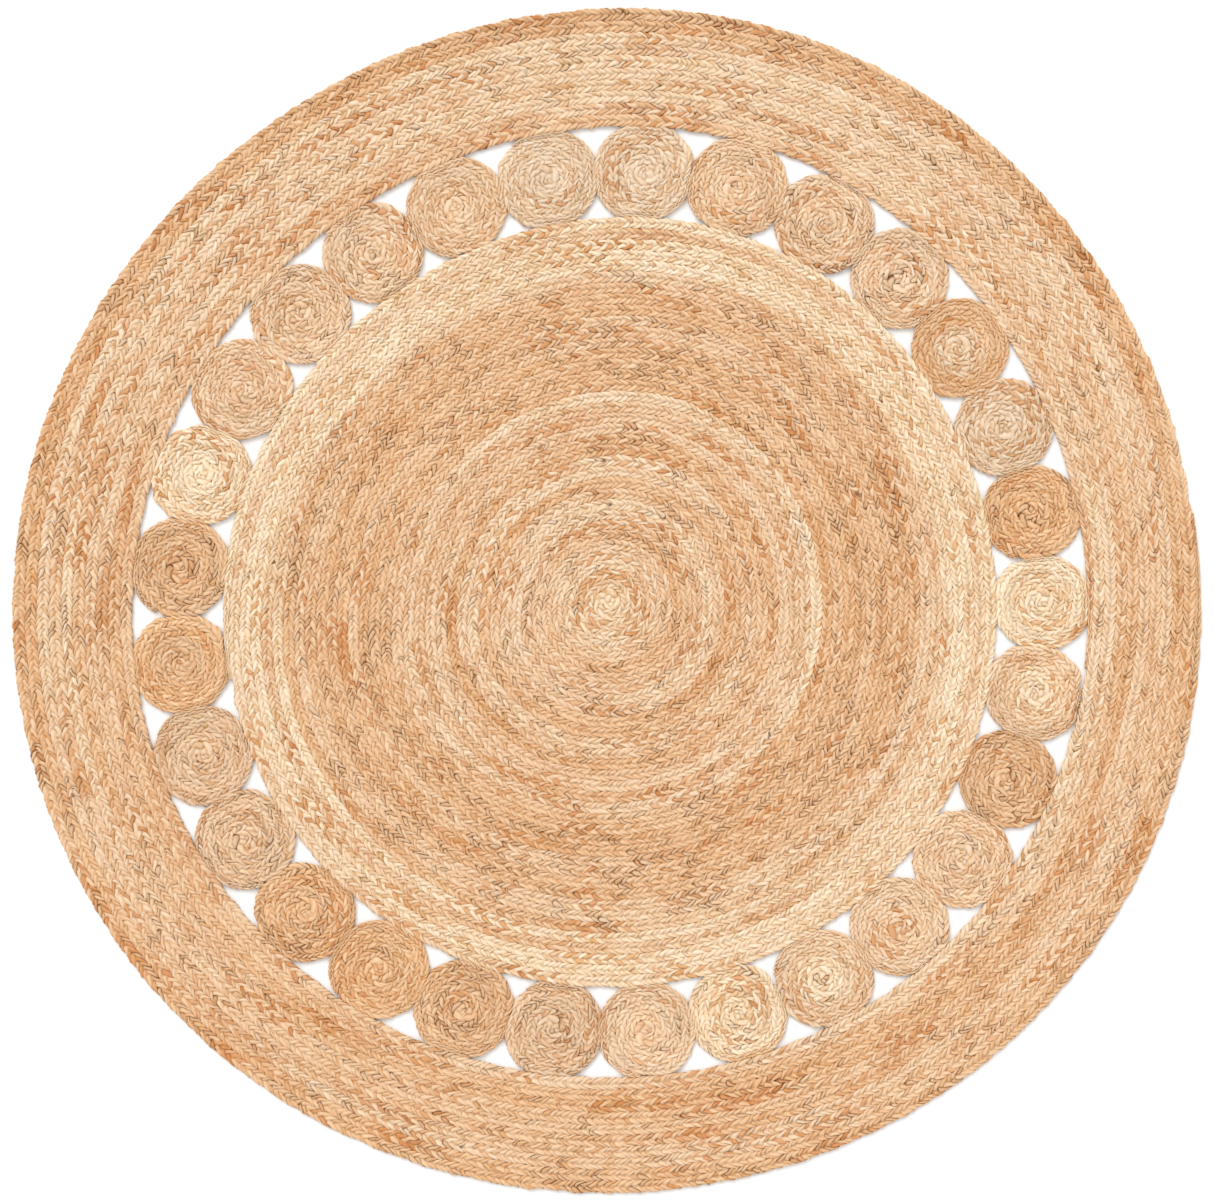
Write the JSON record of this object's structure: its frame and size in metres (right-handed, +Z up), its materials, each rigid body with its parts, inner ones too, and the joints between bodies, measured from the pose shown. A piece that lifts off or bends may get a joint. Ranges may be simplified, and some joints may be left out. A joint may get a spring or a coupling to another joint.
{
  "type": "round braided jute area rug",
  "caption": "Round rug of braided jute: a coiled centre, an open ring of small coiled rosettes and a wide coiled band, sewn edge to edge to lie flat on a floor.",
  "frame": {"origin": "middle of the rug, on the surface that it lies on", "axes": "+Z up out of the rug's face, X and Y in its plane, the first rosette on +X"},
  "size_m": [1.8313, 1.8252, 0.009],
  "materials": {
    "jute_braid": "rough",
    "jute_band_braid": "rough",
    "jute_rosette_braid": "rough",
    "jute_thread": "rough"
  },
  "bodies": {
    "root": {"centre_coil": "jute_braid", "outer_band": "jute_band_braid", "rosette_01": "jute_rosette_braid", "rosette_02": "jute_rosette_braid", "rosette_03": "jute_rosette_braid", "rosette_04": "jute_rosette_braid", "rosette_05": "jute_rosette_braid", "rosette_06": "jute_rosette_braid", "rosette_07": "jute_rosette_braid", "rosette_08": "jute_rosette_braid", "rosette_09": "jute_rosette_braid", "rosette_10": "jute_rosette_braid", "rosette_11": "jute_rosette_braid", "rosette_12": "jute_rosette_braid", "rosette_13": "jute_rosette_braid", "rosette_14": "jute_rosette_braid", "rosette_15": "jute_rosette_braid", "rosette_16": "jute_rosette_braid", "rosette_17": "jute_rosette_braid", "rosette_18": "jute_rosette_braid", "rosette_19": "jute_rosette_braid", "rosette_20": "jute_rosette_braid", "rosette_21": "jute_rosette_braid", "rosette_22": "jute_rosette_braid", "rosette_23": "jute_rosette_braid", "rosette_24": "jute_rosette_braid", "rosette_25": "jute_rosette_braid", "rosette_26": "jute_rosette_braid", "rosette_27": "jute_rosette_braid", "rosette_28": "jute_rosette_braid", "rosette_29": "jute_rosette_braid", "lashing_01": "jute_thread", "lashing_02": "jute_thread", "lashing_03": "jute_thread", "lashing_04": "jute_thread", "lashing_05": "jute_thread", "lashing_06": "jute_thread", "lashing_07": "jute_thread", "lashing_08": "jute_thread", "lashing_09": "jute_thread", "lashing_10": "jute_thread", "lashing_11": "jute_thread", "lashing_12": "jute_thread", "lashing_13": "jute_thread", "lashing_14": "jute_thread", "lashing_15": "jute_thread", "lashing_16": "jute_thread", "lashing_17": "jute_thread", "lashing_18": "jute_thread", "lashing_19": "jute_thread", "lashing_20": "jute_thread", "lashing_21": "jute_thread", "lashing_22": "jute_thread", "lashing_23": "jute_thread", "lashing_24": "jute_thread", "lashing_25": "jute_thread", "lashing_26": "jute_thread", "lashing_27": "jute_thread", "lashing_28": "jute_thread", "lashing_29": "jute_thread"}
  },
  "joints": []
}
